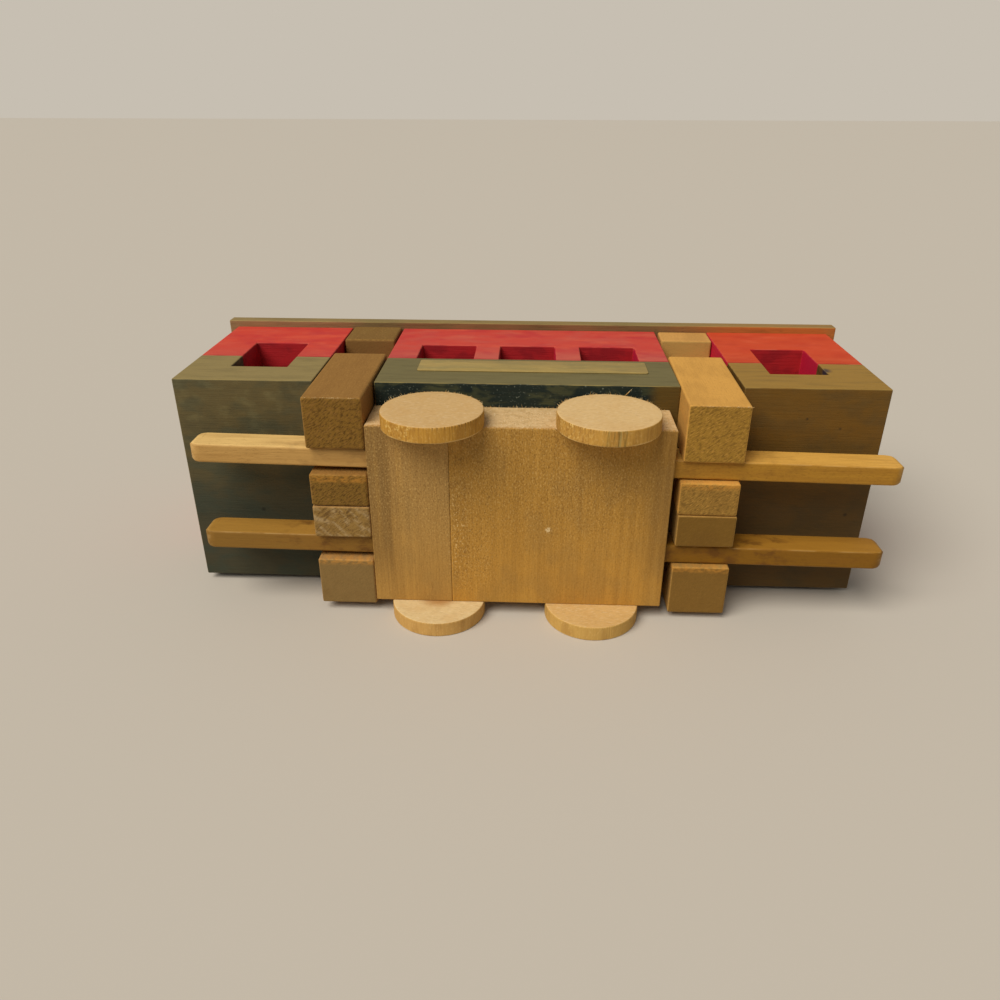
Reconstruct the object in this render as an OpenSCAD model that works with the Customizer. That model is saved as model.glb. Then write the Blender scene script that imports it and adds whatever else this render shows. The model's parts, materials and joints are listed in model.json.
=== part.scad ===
// Wooden trolley car puzzle, lying on its side.
// X runs along the car, Y from its wheels to its roof, and Z across its width, up from the table.
// Hooks join the three blocks, the roof's rib holds the hooks down, the forks hold the rib,
// and the two sticks lock the forks. Drawing out both sticks frees every other piece.

/* [Blocks] */
// Length of each end cab
cab_l = 23.4; // [20:0.1:32]
// Length of the centre block
centre_l = 49.8; // [49.6:0.1:64]
// Height of the blocks, from underside to roof
body_h = 33.5; // [32:0.1:42]
// Width of the blocks across the car
body_w = 37.6; // [36:0.1:46]
// Height of the green skirt blocks, up to the red window blocks
skirt_h = 13.5; // [10:0.1:15]

/* [Windows] */
// Width of the window in each cab
cab_window_w = 9.7; // [6:0.1:11]
// Width of the post between the left cab's window and its end face
left_cab_post_w = 7.5; // [4:0.1:8]
// Width of the post between the right cab's window and its end face
right_cab_post_w = 7.8; // [4:0.1:8]
// Height of the sill of the cab windows, cut into the skirt
cab_sill_h = 7.4; // [4:0.1:9.5]
// Number of windows in the centre block
centre_windows = 3; // [1:1:3]
// Width of each window in the centre block
centre_window_w = 10.1; // [6:0.1:11.5]
// Distance from one centre window to the next
centre_window_pitch = 14.6; // [13:0.1:16]
// Height of the heads of all the windows
window_head_h = 22; // [19:0.1:23]

/* [Forks] */
// Thickness of the fork boards along the car
fork_t = 9.5; // [7:0.1:12]
// Play between a fork and the blocks on each side of it
fork_play = 0.35; // [0.25:0.05:0.9]
// Share of that play that the right lower fork has slid towards the middle
right_fork_lean = 0.85; // [-0.9:0.05:0.9]
// Share of that play that the right upper fork has turned, its head away from the middle
right_fork_turn = 0.85; // [0:0.05:0.9]
// How far both left forks have slid up, across the car
left_fork_lift = 0.35; // [0:0.05:0.5]
// How far the fork ends reach below the blocks
fork_drop = 8.9; // [8.5:0.1:11]
// Distance from the middle plane between the forks to each slot
slot_in = 5.75; // [5:0.05:7]
// Depth of the open recess in a fork's outer side
recess_d = 5.4; // [2:0.1:7]
// Height at which the recess of a left fork starts
left_recess_low = 15; // [13:0.1:18]
// Height at which the recess of a left fork ends, under its head
left_recess_high = 23.8; // [22:0.1:27]
// Height at which the recess of a right fork starts
right_recess_low = 16.75; // [13:0.05:18]
// Height at which the recess of a right fork ends, under its head
right_recess_high = 27; // [22:0.1:28]

/* [Hooks] */
// Height at which the hooks start
hook_low = 16.8; // [16.2:0.1:17.5]
// Height of a pair of hooks together
hook_h = 8; // [7.5:0.1:8.8]
// Width of the hooks across the car
hook_w = 13.5; // [11:0.1:15]
// Thickness of the arm of each hook
hook_arm_t = 2.9; // [2.2:0.1:3]
// Play between the teeth of two hooks, and at their tips
hook_play = 0.3; // [0.1:0.05:0.6]

/* [Roof] */
// Thickness of the roof board
roof_t = 2.6; // [2:0.1:4]
// Overhang of the roof at each end of the car
roof_end_over = 1.7; // [1.7:0.1:5]
// Overhang of the roof at each side of the car
roof_side_over = 1.2; // [0.6:0.1:3]
// Width of the rib under the roof
rib_w = 9.4; // [8:0.1:11]
// How far the rib reaches into each cab
rib_in_cab = 5.5; // [3:0.1:6]
// Height of the tongue on each fork's head
tongue_h = 2.8; // [2:0.1:3.2]
// Length of that tongue
tongue_l = 2; // [1.5:0.1:2.6]

/* [Sticks] */
// Length of the two locking sticks
stick_l = 114.5; // [90:0.1:114.5]
// Depth of a stick, from the truck's wall towards the blocks
stick_d = 5.3; // [4.1:0.1:5.6]
// Thickness of a stick across the car
stick_t = 3.2; // [2.4:0.1:3.8]
// How far the sticks stand off centre, to the right
stick_shift = 2.8; // [-2:0.05:2.8]
// Radius of the corners at a stick's ends, seen from above
stick_corner = 2; // [0.4:0.1:2.5]
// Radius of the same ends, seen from below the car
stick_round = 1; // [0.4:0.1:1.1]
// Play of a stick across the slot of a left fork
left_slot_play = 1.2; // [0.6:0.05:1.4]
// Play of the upper stick across the slot of the right upper fork
right_upper_slot_play = 0.4; // [0.3:0.05:1]
// Play of the lower stick across the slot of the right lower fork
right_lower_slot_play = 0.8; // [0.5:0.05:1.2]
// Share of the play that lies under the upper stick in the left fork
upper_stick_left = 0.7; // [0.15:0.05:0.85]
// Share of the play that lies under the upper stick in the right fork
upper_stick_right = 0.5; // [0.3:0.05:0.7]
// Share of the play that lies under the lower stick in the left fork
lower_stick_left = 0.75; // [0.15:0.05:0.85]
// Share of the play that lies under the lower stick in the right fork
lower_stick_right = 0.2; // [0.15:0.05:0.85]
// Play behind a stick, between it and the end of its slot in a fork
slot_end_play = 0.4; // [0.15:0.05:0.8]

/* [Truck] */
// Length of the truck along the car
truck_l = 48.6; // [46:0.1:48.8]
// How much narrower the truck is than the blocks, on each side
truck_inset = 2.7; // [2:0.1:3.3]
// Depth of the truck below the blocks
truck_d = 9.3; // [8.8:0.1:11]
// Thickness of the truck's front wall, in front of the sticks
truck_wall = 1.4; // [1:0.1:2]
// Length of the narrower of the two boards that make the truck
truck_narrow_l = 13.1; // [9:0.1:20]
// How far the truck is glued off centre along the car
truck_shift = -0.8; // [-0.9:0.05:0.4]
// How far the truck is glued off centre across the car
truck_side_shift = -1.3; // [-1.5:0.05:1.5]

/* [Wheels] */
// Diameter of the upper pair of wheels
upper_wheel_d = 16.2; // [14:0.1:18]
// Diameter of the lower pair of wheels
lower_wheel_d = 15.9; // [14:0.1:18]
// Thickness of the wheels
wheel_t = 2.6; // [2:0.1:4]
// Distance between the centres of the upper pair of wheels
upper_wheelbase = 27.3; // [24:0.1:30]
// Distance between the centres of the lower pair of wheels
lower_wheelbase = 26.3; // [24:0.1:30]
// How far the lower pair is glued off the truck's centre
lower_pair_shift = -0.5; // [-1:0.05:1]
// Width of the eased edge of a wheel
wheel_edge = 0.25; // [0.1:0.05:0.4]

/* [Fits] */
// Clearance between two pieces that slide together
fit = 0.15; // [0.05:0.05:0.25]
// Gap under a stick and between a wheel and the blocks
seat = 0.1; // [0.05:0.05:0.2]

/* [Hidden] */

// How far a cut runs past the wood that it opens
over = 1;
// Sides of a drawn circle
$fn = 96;

// Along the car
gap_l = fork_t + 2 * fork_play;
centre_end = centre_l / 2;
cab_in = centre_end + gap_l;
cab_out = cab_in + cab_l;
fork_x = centre_end + gap_l / 2;
rib_end = cab_in + rib_in_cab;
truck_left = truck_shift - truck_l / 2;
truck_seam = truck_left + truck_narrow_l;
truck_right = truck_left + truck_l;

// Across the car
mid = body_w / 2;
cross_room = left_fork_lift + fit;
groove_w = stick_t + max(left_slot_play, right_upper_slot_play, right_lower_slot_play)
           + cross_room + fit;
truck_w = body_w - 2 * truck_inset;
truck_mid = mid + truck_side_shift;
rib_groove_w = rib_w + 2 * fit;

// From the wheels to the roof
turn_angle = asin(right_fork_turn * 2 * fork_play / body_h);
end_room = fit + fork_t / 2 * sin(turn_angle);
hook_top = hook_low + hook_h;
hook_tooth_l = (gap_l - 3 * hook_play) / 2;
rib_low = hook_top + fit;
tongue_low = (rib_low + body_h - tongue_h) / 2;
stick_out_y = -(truck_d - truck_wall - seat);
slot_end_y = stick_out_y + stick_d + slot_end_play;

// Places of the whole car on the table, centred over the origin
car_top = body_h + roof_t;
car_bottom = -(max(upper_wheel_d, lower_wheel_d) + seat);
lay_y = -(car_top + car_bottom) / 2;
lay_z = max(roof_side_over, wheel_t + truck_w / 2 - truck_mid);

// Dyes and bare woods
red_dye = "#c8503c";
green_dye = "#7c7650";
fork_wood = "#a8793a";
stick_wood = "#cf9a52";
truck_wood = "#b98c4c";
wheel_wood = "#dcb680";

// Moves a piece from the car's own places to where the car lies
module lay() {
    translate([0, lay_y, lay_z]) children();
}

// Block between two opposite corners
module box(low, high) {
    translate(low) cube(high - low);
}

// Flat rectangle between two opposite corners
module rect(low, high) {
    translate(low) square(high - low);
}

// Board whose outline is drawn in Y and Z, from one X to another
module along_x(from, to) {
    translate([from, 0, 0]) rotate([90, 0, 90]) linear_extrude(to - from) children();
}

// The same piece at the other end of the car
module other_end() {
    mirror([1, 0, 0]) children();
}

// The same piece on the other side of the car's middle plane
module other_side() {
    translate([0, 0, body_w]) mirror([0, 0, 1]) children();
}

// Rectangle with rounded corners, centred
module round_rect(l, w, r) {
    square([l - 2 * r, w], center = true);
    square([l, w - 2 * r], center = true);
    for (x = [-1, 1], y = [-1, 1]) translate([x * (l / 2 - r), y * (w / 2 - r)]) circle(r);
}

// Hook of the centre block: an arm with a tooth at its tip, reaching across the gap.
// Turned half a turn about the middle of the gap it is the cab's hook.
module hook() {
    arm_l = gap_l - hook_play;
    tooth_top = hook_h - hook_arm_t - fit;
    translate([0, 0, mid - hook_w / 2]) linear_extrude(hook_w)
        polygon([[0, 0], [arm_l, 0], [arm_l, tooth_top], [arm_l - hook_tooth_l, tooth_top],
                 [arm_l - hook_tooth_l, hook_arm_t], [0, hook_arm_t]]);
}

// Groove in the top of the window blocks that the rib lies in
module rib_groove(from, to) {
    box([from, hook_top, mid - rib_groove_w / 2], [to, body_h + over, mid + rib_groove_w / 2]);
}

// Window sawn across the whole width of a block
module window_cut(from, to, low, high) {
    box([from, low, -over], [to, high, body_w + over]);
}

module cab_skirt(post_w) {
    window_out = cab_out - post_w;
    color(green_dye) lay() difference() {
        box([cab_in, 0, 0], [cab_out, skirt_h, body_w]);
        window_cut(window_out - cab_window_w, window_out, cab_sill_h, skirt_h + over);
    }
}

module cab_window_block(post_w) {
    window_out = cab_out - post_w;
    color(red_dye) lay() difference() {
        union() {
            box([cab_in, skirt_h, 0], [cab_out, body_h, body_w]);
            translate([cab_in, hook_top, 0]) rotate([0, 0, 180]) hook();
        }
        window_cut(window_out - cab_window_w, window_out, skirt_h - over, window_head_h);
        rib_groove(cab_in - over, rib_end + fit);
    }
}

module left_cab_skirt() {
    other_end() cab_skirt(left_cab_post_w);
}

module right_cab_skirt() {
    cab_skirt(right_cab_post_w);
}

module left_cab_window_block() {
    other_end() cab_window_block(left_cab_post_w);
}

module right_cab_window_block() {
    cab_window_block(right_cab_post_w);
}

module centre_skirt() {
    color(green_dye) lay() box([-centre_end, 0, 0], [centre_end, skirt_h, body_w]);
}

module centre_window_block() {
    color(red_dye) lay() difference() {
        union() {
            box([-centre_end, skirt_h, 0], [centre_end, body_h, body_w]);
            translate([centre_end, hook_low, 0]) hook();
            other_end() translate([centre_end, hook_low, 0]) hook();
        }
        for (i = [0 : centre_windows - 1]) {
            x = (i - (centre_windows - 1) / 2) * centre_window_pitch;
            window_cut(x - centre_window_w / 2, x + centre_window_w / 2, skirt_h - over, window_head_h);
        }
        rib_groove(-centre_end - over, centre_end + over);
    }
}

// Upper fork seen from the end of the car: two legs round its stick, a notch round the hooks,
// a recess in its outer side, and a head whose tongue enters the rib
module fork_outline(slot_w, recess_low, recess_high) {
    head_side = mid + rib_w / 2 + cross_room;
    difference() {
        rect([-fork_drop, mid + fit / 2], [body_h - end_room, body_w]);
        rect([-fork_drop - over, mid + slot_in], [slot_end_y, mid + slot_in + slot_w]);
        rect([hook_low - end_room, mid - over], [hook_top + end_room, mid + hook_w / 2 + cross_room]);
        rect([hook_top, mid - over], [body_h + over, head_side]);
        rect([recess_low, body_w - recess_d], [recess_high, body_w + over]);
    }
    rect([tongue_low, head_side - tongue_l], [tongue_low + tongue_h, head_side + over]);
}

// Upper fork with its middle at x = 0
module fork(slot_play, recess_low, recess_high) {
    along_x(-fork_t / 2, fork_t / 2) fork_outline(stick_t + slot_play, recess_low, recess_high);
}

// Left fork in its gap, on the upper side
module left_fork() {
    translate([-fork_x, 0, 0]) fork(left_slot_play, left_recess_low, left_recess_high);
}

module left_fork_upper() {
    color(fork_wood) lay() translate([0, 0, left_fork_lift]) left_fork();
}

module left_fork_lower() {
    color(fork_wood) lay() translate([0, 0, left_fork_lift]) other_side() left_fork();
}

module right_fork_upper() {
    color(fork_wood) lay()
        translate([fork_x, body_h / 2, 0]) rotate([0, 0, -turn_angle]) translate([0, -body_h / 2, 0])
            fork(right_upper_slot_play, right_recess_low, right_recess_high);
}

module right_fork_lower() {
    color(fork_wood) lay() translate([fork_x - right_fork_lean * fork_play, 0, 0])
        other_side() fork(right_lower_slot_play, right_recess_low, right_recess_high);
}

// Board of the truck with the two grooves that the sticks run in, open towards the blocks
module truck_board(from, to) {
    color(truck_wood) lay() along_x(from, to) difference() {
        rect([-truck_d, truck_mid - truck_w / 2], [0, truck_mid + truck_w / 2]);
        for (low = [mid + slot_in - fit, mid - slot_in + cross_room - groove_w])
            rect([-(truck_d - truck_wall), low], [over, low + groove_w]);
    }
}

module truck_narrow_board() {
    truck_board(truck_left, truck_seam);
}

module truck_wide_board() {
    truck_board(truck_seam, truck_right);
}

// Plain disc with eased edges, standing on z = 0
module wheel_disc(r) {
    rotate_extrude() polygon([[0, 0], [r - wheel_edge, 0], [r, wheel_edge],
                              [r, wheel_t - wheel_edge], [r - wheel_edge, wheel_t], [0, wheel_t]]);
}

// Wheel glued flat on the truck, z being the height of its lower face
module wheel(x, z, d) {
    color(wheel_wood) lay() translate([x, -(d / 2 + seat), z]) wheel_disc(d / 2);
}

// Wheel on the truck's upper side
module upper_wheel(x) {
    wheel(truck_shift + x, truck_mid + truck_w / 2, upper_wheel_d);
}

// Wheel on the truck's lower side
module lower_wheel(x) {
    wheel(truck_shift + lower_pair_shift + x, truck_mid - truck_w / 2 - wheel_t, lower_wheel_d);
}

module upper_left_wheel() {
    upper_wheel(-upper_wheelbase / 2);
}

module upper_right_wheel() {
    upper_wheel(upper_wheelbase / 2);
}

module lower_left_wheel() {
    lower_wheel(-lower_wheelbase / 2);
}

module lower_right_wheel() {
    lower_wheel(lower_wheelbase / 2);
}

// Locking stick, a running board on the car, with rounded ends. It slants a little in its slots:
// left_low and right_low are the heights of its lower face inside the left and right forks
module stick(left_low, right_low) {
    slope = atan((left_low - right_low) / (2 * fork_x));
    color(stick_wood) lay()
        translate([0, stick_out_y + stick_d / 2, (left_low + right_low + stick_t) / 2])
            rotate([0, slope, 0]) translate([stick_shift, 0, 0]) intersection() {
                linear_extrude(stick_t, center = true) round_rect(stick_l, stick_d, stick_corner);
                rotate([90, 0, 0]) linear_extrude(stick_d, center = true)
                    round_rect(stick_l, stick_t, stick_round);
            }
}

module upper_stick() {
    slots_low = mid + slot_in;
    stick(slots_low + left_fork_lift + upper_stick_left * left_slot_play,
          slots_low + upper_stick_right * right_upper_slot_play);
}

module lower_stick() {
    slots_top = mid - slot_in - stick_t;
    stick(slots_top + left_fork_lift - (1 - lower_stick_left) * left_slot_play,
          slots_top - (1 - lower_stick_right) * right_lower_slot_play);
}

module roof_board() {
    color(green_dye) lay() box([-cab_out - roof_end_over, body_h, -roof_side_over],
                               [cab_out + roof_end_over, body_h + roof_t, body_w + roof_side_over]);
}

// Rib glued under the roof, with a groove in each side for the tongues of the forks
module roof_rib() {
    color(green_dye) lay() along_x(-rib_end, rib_end) difference() {
        rect([rib_low, mid - rib_w / 2], [body_h, mid + rib_w / 2]);
        rect([tongue_low - end_room, mid + rib_w / 2 - tongue_l],
             [tongue_low + tongue_h + end_room, mid + rib_w / 2 + over]);
        rect([tongue_low - end_room, mid - rib_w / 2 - over],
             [tongue_low + tongue_h + end_room, mid - rib_w / 2 + tongue_l]);
    }
}

left_cab_skirt();
left_cab_window_block();
centre_skirt();
centre_window_block();
right_cab_skirt();
right_cab_window_block();
left_fork_upper();
left_fork_lower();
right_fork_upper();
right_fork_lower();
truck_narrow_board();
truck_wide_board();
upper_left_wheel();
upper_right_wheel();
lower_left_wheel();
lower_right_wheel();
upper_stick();
lower_stick();
roof_board();
roof_rib();
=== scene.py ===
import json
import math

import bpy
import numpy as np
from mathutils import Euler, Matrix, Vector

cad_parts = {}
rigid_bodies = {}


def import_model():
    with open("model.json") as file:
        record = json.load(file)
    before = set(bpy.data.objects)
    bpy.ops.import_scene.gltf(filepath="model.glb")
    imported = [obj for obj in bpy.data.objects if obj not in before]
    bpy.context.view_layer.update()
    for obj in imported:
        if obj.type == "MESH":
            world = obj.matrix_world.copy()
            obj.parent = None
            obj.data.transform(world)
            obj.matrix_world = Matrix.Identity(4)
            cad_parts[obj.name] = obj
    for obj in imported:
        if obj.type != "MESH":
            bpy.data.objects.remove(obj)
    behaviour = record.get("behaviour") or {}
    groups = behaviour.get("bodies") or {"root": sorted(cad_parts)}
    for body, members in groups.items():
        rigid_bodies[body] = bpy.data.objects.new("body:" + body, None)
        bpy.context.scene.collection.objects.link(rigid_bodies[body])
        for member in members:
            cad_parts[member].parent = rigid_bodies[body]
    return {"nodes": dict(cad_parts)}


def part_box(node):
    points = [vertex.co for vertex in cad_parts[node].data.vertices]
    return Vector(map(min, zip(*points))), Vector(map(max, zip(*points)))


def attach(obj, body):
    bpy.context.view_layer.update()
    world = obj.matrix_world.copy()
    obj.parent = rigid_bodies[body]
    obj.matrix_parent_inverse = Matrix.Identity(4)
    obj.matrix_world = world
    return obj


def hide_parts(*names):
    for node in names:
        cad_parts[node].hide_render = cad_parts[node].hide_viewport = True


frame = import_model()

for spare in [o for o in bpy.data.objects if o.name in ("Cube", "Light", "Camera")]:
    bpy.data.objects.remove(spare)
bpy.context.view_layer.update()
NODES = frame["nodes"]
MM = 0.001

# Camera fitted to the corners of the blocks in the photograph's 1000 x 1000 frame
CAMERA_PLACE = (0.000873, -0.134352, 0.080716)
CAMERA_RIGHT = (0.99912, 0.04199, 0.002)
CAMERA_UP = (-0.02075, 0.45109, 0.89224)
CAMERA_LENS = 28.875
CAMERA_SENSOR = 36.0

# A plain even sky and one broad soft lamp, above the front left of the car
SKY_STRENGTH = 0.27
LAMP_STRENGTH = 2.8
LAMP_SPREAD = math.radians(40)
LAMP_SIDE = (-0.55, -0.6, 1.0)
SUN_COLOUR = "#fffaf2"
SKY_COLOUR = "#fffdfa"
FLOOR = "#c7bfb2"
BACKDROP = "#c7bfb2"

# Places on the car, in mm, that the finishes follow. A stretch that is open at one end reaches to FAR,
# which is past every side of the car.
SKIRT_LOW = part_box("centre_skirt")[0]
CAR_ZERO = Vector((0.0, SKIRT_LOW.y, SKIRT_LOW.z))


def on_car(piece):
    """Lower and upper corner of a piece's box, as places on the car."""
    return [(corner - CAR_ZERO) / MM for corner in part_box(piece)]


CAR_SIDE = on_car("centre_skirt")[1].z
DYE_SEAM = on_car("centre_skirt")[1].y
TRUCK_LEFT, TRUCK_FRONT = on_car("truck_narrow_board")[0].xy
TRUCK_SEAM, TRUCK_TOP = on_car("truck_narrow_board")[1].xz
TRUCK_RIGHT = on_car("truck_wide_board")[1].x
FAR = 120.0

# Widths in mm of the arrises that sandpaper and fingers left
BLOCK_ARRIS = 0.22
FORK_ARRIS = 0.3
HANDLED_ARRIS = 0.35
RUBBED_ARRIS = 0.42
# Edges that turn by more than this are eased. A stick's tip is rounded by smaller turns, which stay
EDGE_TURN = math.radians(30)
TIP_TURN = math.radians(60)


def linear(colour):
    """Linear RGBA of an sRGB hex colour."""
    parts = [int(colour[i:i + 2], 16) / 255 for i in (1, 3, 5)]
    return [p / 12.92 if p <= 0.04045 else ((p + 0.055) / 1.055) ** 2.4 for p in parts] + [1.0]


def add(tree, kind, inputs, out=0, **settings):
    """Adds a node with its settings. Each input is an output to link, a hex colour or a value, and the
    chosen output comes back."""
    made = tree.nodes.new(kind)
    for field, value in settings.items():
        setattr(made, field, value)
    for place, value in inputs.items():
        if isinstance(value, bpy.types.NodeSocket):
            tree.links.new(value, made.inputs[place])
        else:
            made.inputs[place].default_value = linear(value) if isinstance(value, str) else value
    return made.outputs[out] if made.outputs else made


def camera_and_light():
    """Camera at the photograph's place, and light at which a colour renders about as it is written."""
    right, up = Vector(CAMERA_RIGHT).normalized(), Vector(CAMERA_UP)
    back = right.cross(up).normalized()
    up = back.cross(right)
    camera = bpy.data.objects.new("camera", bpy.data.cameras.new("camera"))
    camera.data.sensor_width = CAMERA_SENSOR
    camera.data.lens = CAMERA_LENS
    camera.data.clip_start = 0.005
    turn = Matrix((right, up, back)).transposed().to_4x4()
    camera.matrix_world = Matrix.Translation(CAMERA_PLACE) @ turn
    bpy.context.scene.collection.objects.link(camera)
    bpy.context.scene.camera = camera

    lamp = bpy.data.objects.new("studio_lamp", bpy.data.lights.new("studio_lamp", "SUN"))
    lamp.data.energy = LAMP_STRENGTH
    lamp.data.angle = LAMP_SPREAD
    lamp.data.color = linear(SUN_COLOUR)[:3]
    lamp.rotation_mode = "QUATERNION"
    lamp.rotation_quaternion = Vector(LAMP_SIDE).to_track_quat("Z", "Y")
    bpy.context.scene.collection.objects.link(lamp)

    world = bpy.data.worlds.new("plain_sky")
    world.use_nodes = True
    tree = world.node_tree
    tree.nodes.clear()
    seen = add(tree, "ShaderNodeLightPath", {}, "Is Camera Ray")
    shown = add(tree, "ShaderNodeBackground", {"Color": BACKDROP, "Strength": 1.0})
    light = add(tree, "ShaderNodeBackground", {"Color": SKY_COLOUR, "Strength": SKY_STRENGTH})
    both = add(tree, "ShaderNodeMixShader", {0: seen, 1: light, 2: shown})
    add(tree, "ShaderNodeOutputWorld", {"Surface": both})
    bpy.context.scene.world = world
    bpy.context.scene.view_settings.view_transform = "Standard"


def floor():
    """Plain pale floor, far wider than the view."""
    half = 3.0
    mesh = bpy.data.meshes.new("floor")
    mesh.from_pydata([(-half, -half, 0), (half, -half, 0), (half, half, 0), (-half, half, 0)], [],
                     [(0, 1, 2, 3)])
    sheet = bpy.data.objects.new("floor", mesh)
    bpy.context.scene.collection.objects.link(sheet)
    material = bpy.data.materials.new("plain_matt_floor")
    material.use_nodes = True
    shader = material.node_tree.nodes["Principled BSDF"]
    shader.inputs["Base Color"].default_value = linear(FLOOR)
    shader.inputs["Roughness"].default_value = 0.95
    shader.inputs["Specular IOR Level"].default_value = 0.1
    mesh.materials.append(material)


class Wood:
    """Wood of one piece while its material is made. Masks run from 0 to 1, and relief is in mm.
    `place` is in mm from the middle of the piece, turned so that its X runs along the fibres."""

    TURNS = {"X": (0, 0, 0), "Y": (0, 0, -math.pi / 2), "Z": (0, math.pi / 2, 0)}

    def __init__(self, name, piece, fibres, seed):
        self.material = bpy.data.materials.new(name)
        self.material.use_nodes = True
        self.tree = self.material.node_tree
        self.tree.nodes.clear()
        self.chance = np.random.default_rng(seed)
        low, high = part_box(piece)
        turn = Euler(self.TURNS[fibres])
        middle = turn.to_matrix() @ ((high + low) / -2 / MM)
        here = add(self.tree, "ShaderNodeTexCoord", {}, "Object")
        self.place = add(self.tree, "ShaderNodeMapping",
                         {"Vector": here, "Location": middle, "Rotation": turn, "Scale": (1 / MM,) * 3})
        self.car = add(self.tree, "ShaderNodeMapping",
                       {"Vector": here, "Location": CAR_ZERO, "Scale": (MM,) * 3}, vector_type="TEXTURE")
        car = add(self.tree, "ShaderNodeSeparateXYZ", {0: self.car}).node
        normal = add(self.tree, "ShaderNodeTexCoord", {}, "Normal")
        lean = add(self.tree, "ShaderNodeSeparateXYZ", {0: normal}).node
        self.along = dict(zip("XYZ", car.outputs))
        self.lean = dict(zip("XYZ", lean.outputs))
        self.end = self.facing(fibres)
        self.height = 0.0

    def facing(self, axis, sign=0):
        """Faces square to a car axis, on both sides or on the one that the sign names."""
        lean = self.lean[axis]
        if sign == 0:
            lean = add(self.tree, "ShaderNodeMath", {0: lean}, operation="ABSOLUTE")
            sign = 1
        return add(self.tree, "ShaderNodeMapRange", {0: lean, 1: 0.6 * sign, 2: 0.9 * sign},
                   interpolation_type="SMOOTHSTEP")

    def arris(self):
        """The rounded edges between the faces."""
        sizes = [add(self.tree, "ShaderNodeMath", {0: lean}, operation="ABSOLUTE")
                 for lean in self.lean.values()]
        most = add(self.tree, "ShaderNodeMath", {0: sizes[0], 1: sizes[1]}, operation="MAXIMUM")
        most = add(self.tree, "ShaderNodeMath", {0: most, 1: sizes[2]}, operation="MAXIMUM")
        return add(self.tree, "ShaderNodeMapRange", {0: most, 1: 0.985, 2: 0.85},
                   interpolation_type="SMOOTHSTEP")

    def between(self, axis, low, high, soft=0.4):
        """From low to high along a car axis, fading over soft mm at both."""
        along = self.along[axis]
        rise = add(self.tree, "ShaderNodeMapRange", {0: along, 1: low - soft, 2: low + soft},
                   interpolation_type="SMOOTHSTEP")
        fall = add(self.tree, "ShaderNodeMapRange", {0: along, 1: high + soft, 2: high - soft},
                   interpolation_type="SMOOTHSTEP")
        return add(self.tree, "ShaderNodeMath", {0: rise, 1: fall}, operation="MULTIPLY")

    def near(self, spot, radius, soft):
        """Within a radius of a spot on the car, fading over the last soft mm."""
        far = add(self.tree, "ShaderNodeVectorMath", {0: self.car, 1: spot}, "Value", operation="DISTANCE")
        return add(self.tree, "ShaderNodeMapRange", {0: far, 1: radius, 2: radius - soft},
                   interpolation_type="SMOOTHSTEP")

    def blots(self, sizes, start, full, slant=0.0, detail=2.0, twist=0.0):
        """Blots whose sizes are given along the fibres and in the two ways across them. They begin where
        a noise passes start and are whole where it passes full. slant turns them about the fibres."""
        seat = self.chance.uniform(-500, 500, 3)
        scaled = add(self.tree, "ShaderNodeMapping",
                     {"Vector": self.place, "Location": seat, "Rotation": (slant, 0, 0), "Scale": sizes},
                     vector_type="TEXTURE")
        noise = add(self.tree, "ShaderNodeTexNoise",
                    {"Vector": scaled, "Scale": 1.0, "Detail": detail, "Roughness": 0.6,
                     "Distortion": twist})
        return add(self.tree, "ShaderNodeMapRange", {0: noise, 1: start, 2: full},
                   interpolation_type="SMOOTHSTEP")

    def rings(self, heart, gap):
        """Dark late wood of the growth rings: uneven circles gap mm apart about a heart that lies heart mm
        from the middle of the piece. Blender's wave turns once in tau / 20 of its scaled length."""
        moved = add(self.tree, "ShaderNodeVectorMath", {0: self.place, 1: heart}, operation="SUBTRACT")
        wave = add(self.tree, "ShaderNodeTexWave",
                   {"Vector": moved, "Scale": math.tau / 20 / gap, "Distortion": 2.5, "Detail": 2.0,
                    "Detail Scale": 0.6}, "Fac", wave_type="RINGS", rings_direction="X", wave_profile="SAW")
        return add(self.tree, "ShaderNodeMapRange", {0: wave, 1: 0.35, 2: 1.0})

    def coat(self, below, colour, *where, share=1.0):
        """A colour laid over the one below where all the masks meet; share is how much of it takes. A mask
        can be laid over another mask in the same way."""
        cover = share
        for mask in where:
            cover = add(self.tree, "ShaderNodeMath", {0: cover, 1: mask}, operation="MULTIPLY")
        return add(self.tree, "ShaderNodeMix", {0: cover, 6: below, 7: colour}, 2, data_type="RGBA")

    def carve(self, depth, *where):
        """Sinks the surface by a depth where all the masks meet, or raises it where depth is negative."""
        rise = -depth
        for mask in where:
            rise = add(self.tree, "ShaderNodeMath", {0: rise, 1: mask}, operation="MULTIPLY")
        self.height = add(self.tree, "ShaderNodeMath", {0: self.height, 1: rise}, operation="ADD")

    def finish(self, colour, roughness=0.75):
        """The material, with its colour and the relief that was carved."""
        bump = add(self.tree, "ShaderNodeBump", {"Strength": 1.0, "Distance": MM, "Height": self.height})
        shader = add(self.tree, "ShaderNodeBsdfPrincipled",
                     {"Base Color": colour, "Roughness": roughness, "Normal": bump, "IOR": 1.5,
                      "Specular IOR Level": 0.25})
        add(self.tree, "ShaderNodeOutputMaterial", {"Surface": shader})
        return self.material


def fine_grain(wood, colour, dark, share):
    """Fine fibres and short open pores of sanded basswood over a colour. The real pores are 0.05 mm wide,
    too fine to show, so they are drawn 0.18 mm wide."""
    depth = 0.015
    fibres = wood.blots((6, 0.3, 0.3), 0.38, 0.68, detail=4)
    pores = wood.blots((1.2, 0.18, 0.18), 0.6, 0.74, detail=1)
    colour = wood.coat(colour, dark, fibres, share=share * 0.7)
    colour = wood.coat(colour, dark, pores, share=share)
    wood.carve(depth, fibres)
    wood.carve(depth, pores)
    return colour


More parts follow.
